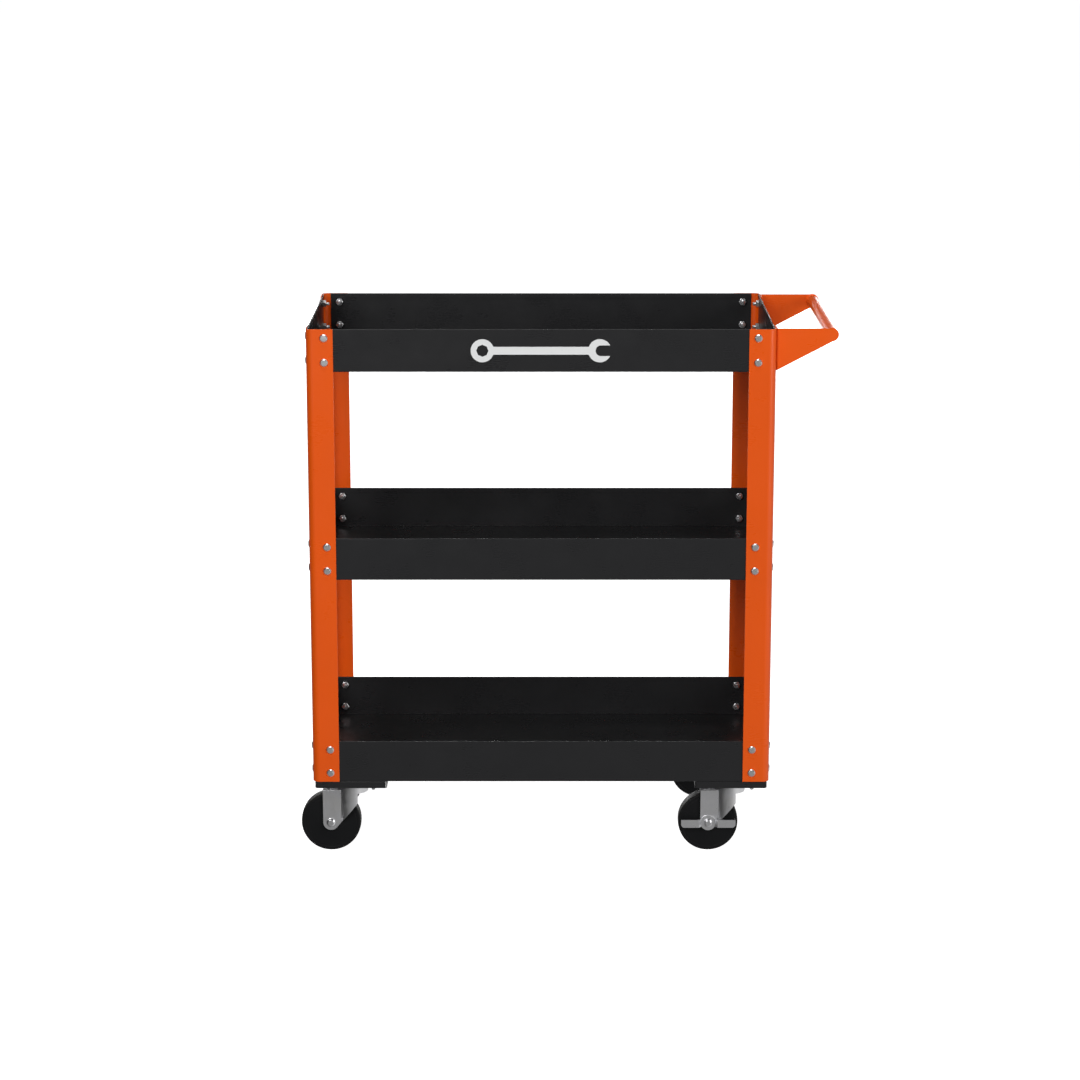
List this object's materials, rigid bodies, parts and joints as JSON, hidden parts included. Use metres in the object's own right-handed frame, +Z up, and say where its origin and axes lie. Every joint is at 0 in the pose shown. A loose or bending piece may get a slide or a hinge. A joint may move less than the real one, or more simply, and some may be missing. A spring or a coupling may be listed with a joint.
{
  "type": "tool cart",
  "caption": "Rolling tool cart: black steel trays bolted to orange angle legs, side push handle, swivel casters with brake levers.",
  "frame": {"origin": "on the floor, under the middle of the overall box at rest (38.25 mm from the middle of the frame towards the push handle)", "axes": "+Z up, +X towards the push handle, +Y towards the back; casters trail towards -X"},
  "size_m": [0.8865, 0.4072, 0.8975],
  "materials": {
    "orange_paint": "semi-gloss powder coat",
    "black_paint": "semi-gloss powder coat",
    "zinc_fasteners": "bright zinc plate",
    "zinc_pressings": "zinc plate, satin",
    "bearing_steel": "polished",
    "wheel_rubber": "matt moulded"
  },
  "bodies": {
    "cart_frame": {"leg_front_left": "orange_paint", "leg_front_right": "orange_paint", "leg_rear_left": "orange_paint", "leg_rear_right": "orange_paint", "tray_top": "black_paint", "tray_bolts_top": "zinc_fasteners", "tray_nuts_top": "zinc_fasteners", "tray_middle": "black_paint", "tray_bolts_middle": "zinc_fasteners", "tray_nuts_middle": "zinc_fasteners", "tray_bottom": "black_paint", "tray_bolts_bottom": "zinc_fasteners", "tray_nuts_bottom": "zinc_fasteners", "caster_pan_left": "black_paint", "caster_pan_right": "black_paint", "handle_bracket_front": "orange_paint", "handle_bracket_rear": "orange_paint", "handle_grip": "orange_paint", "caster_studs": "zinc_fasteners", "caster_nuts": "zinc_fasteners", "caster_plate_front_left": "zinc_pressings", "kingpin_front_left": "zinc_fasteners", "caster_plate_front_right": "zinc_pressings", "kingpin_front_right": "zinc_fasteners", "caster_plate_rear_left": "zinc_pressings", "kingpin_rear_left": "zinc_fasteners", "caster_plate_rear_right": "zinc_pressings", "kingpin_rear_right": "zinc_fasteners"},
    "swivel_front_left": {"yoke_front_left": "zinc_pressings", "race_balls_front_left": "bearing_steel", "axle_bolt_front_left": "zinc_fasteners", "axle_nut_front_left": "zinc_fasteners", "wheel_bushing_front_left": "bearing_steel"},
    "rolling_front_left": {"wheel_front_left": "wheel_rubber"},
    "swivel_front_right": {"yoke_front_right": "zinc_pressings", "race_balls_front_right": "bearing_steel", "axle_bolt_front_right": "zinc_fasteners", "axle_nut_front_right": "zinc_fasteners", "wheel_bushing_front_right": "bearing_steel"},
    "rolling_front_right": {"wheel_front_right": "wheel_rubber"},
    "swivel_rear_left": {"yoke_rear_left": "zinc_pressings", "race_balls_rear_left": "bearing_steel", "axle_bolt_rear_left": "zinc_fasteners", "axle_nut_rear_left": "zinc_fasteners", "wheel_bushing_rear_left": "bearing_steel"},
    "rolling_rear_left": {"wheel_rear_left": "wheel_rubber"},
    "swivel_rear_right": {"yoke_rear_right": "zinc_pressings", "race_balls_rear_right": "bearing_steel", "axle_bolt_rear_right": "zinc_fasteners", "axle_nut_rear_right": "zinc_fasteners", "wheel_bushing_rear_right": "bearing_steel"},
    "rolling_rear_right": {"wheel_rear_right": "wheel_rubber"},
    "brake_front_right": {"brake_lever_front_right": "zinc_pressings"},
    "brake_rear_right": {"brake_lever_rear_right": "zinc_pressings"}
  },
  "joints": [
    {"name": "caster_swivel_front_left", "type": "hinge", "parent": "cart_frame", "child": "swivel_front_left", "pos_m": [-0.35655, -0.1457, 0.1195], "axis": [0, 0, 1], "continuous": true},
    {"name": "wheel_spin_front_left", "type": "hinge", "parent": "swivel_front_left", "child": "rolling_front_left", "pos_m": [-0.39275, -0.1457, 0.0505], "axis": [0, 1, 0], "continuous": true},
    {"name": "caster_swivel_front_right", "type": "hinge", "parent": "cart_frame", "child": "swivel_front_right", "pos_m": [0.28005, -0.1457, 0.1195], "axis": [0, 0, 1], "continuous": true},
    {"name": "wheel_spin_front_right", "type": "hinge", "parent": "swivel_front_right", "child": "rolling_front_right", "pos_m": [0.24385, -0.1457, 0.0505], "axis": [0, 1, 0], "continuous": true},
    {"name": "caster_swivel_rear_left", "type": "hinge", "parent": "cart_frame", "child": "swivel_rear_left", "pos_m": [-0.35655, 0.1457, 0.1195], "axis": [0, 0, 1], "continuous": true},
    {"name": "wheel_spin_rear_left", "type": "hinge", "parent": "swivel_rear_left", "child": "rolling_rear_left", "pos_m": [-0.39275, 0.1457, 0.0505], "axis": [0, 1, 0], "continuous": true},
    {"name": "caster_swivel_rear_right", "type": "hinge", "parent": "cart_frame", "child": "swivel_rear_right", "pos_m": [0.28005, 0.1457, 0.1195], "axis": [0, 0, 1], "continuous": true},
    {"name": "wheel_spin_rear_right", "type": "hinge", "parent": "swivel_rear_right", "child": "rolling_rear_right", "pos_m": [0.24385, 0.1457, 0.0505], "axis": [0, 1, 0], "continuous": true},
    {"name": "brake_press_front_right", "type": "hinge", "parent": "swivel_front_right", "child": "brake_front_right", "pos_m": [0.24385, -0.1457, 0.0505], "axis": [0, 1, 0], "range_deg": [0, 30]},
    {"name": "brake_press_rear_right", "type": "hinge", "parent": "swivel_rear_right", "child": "brake_rear_right", "pos_m": [0.24385, 0.1457, 0.0505], "axis": [0, 1, 0], "range_deg": [0, 30]}
  ]
}
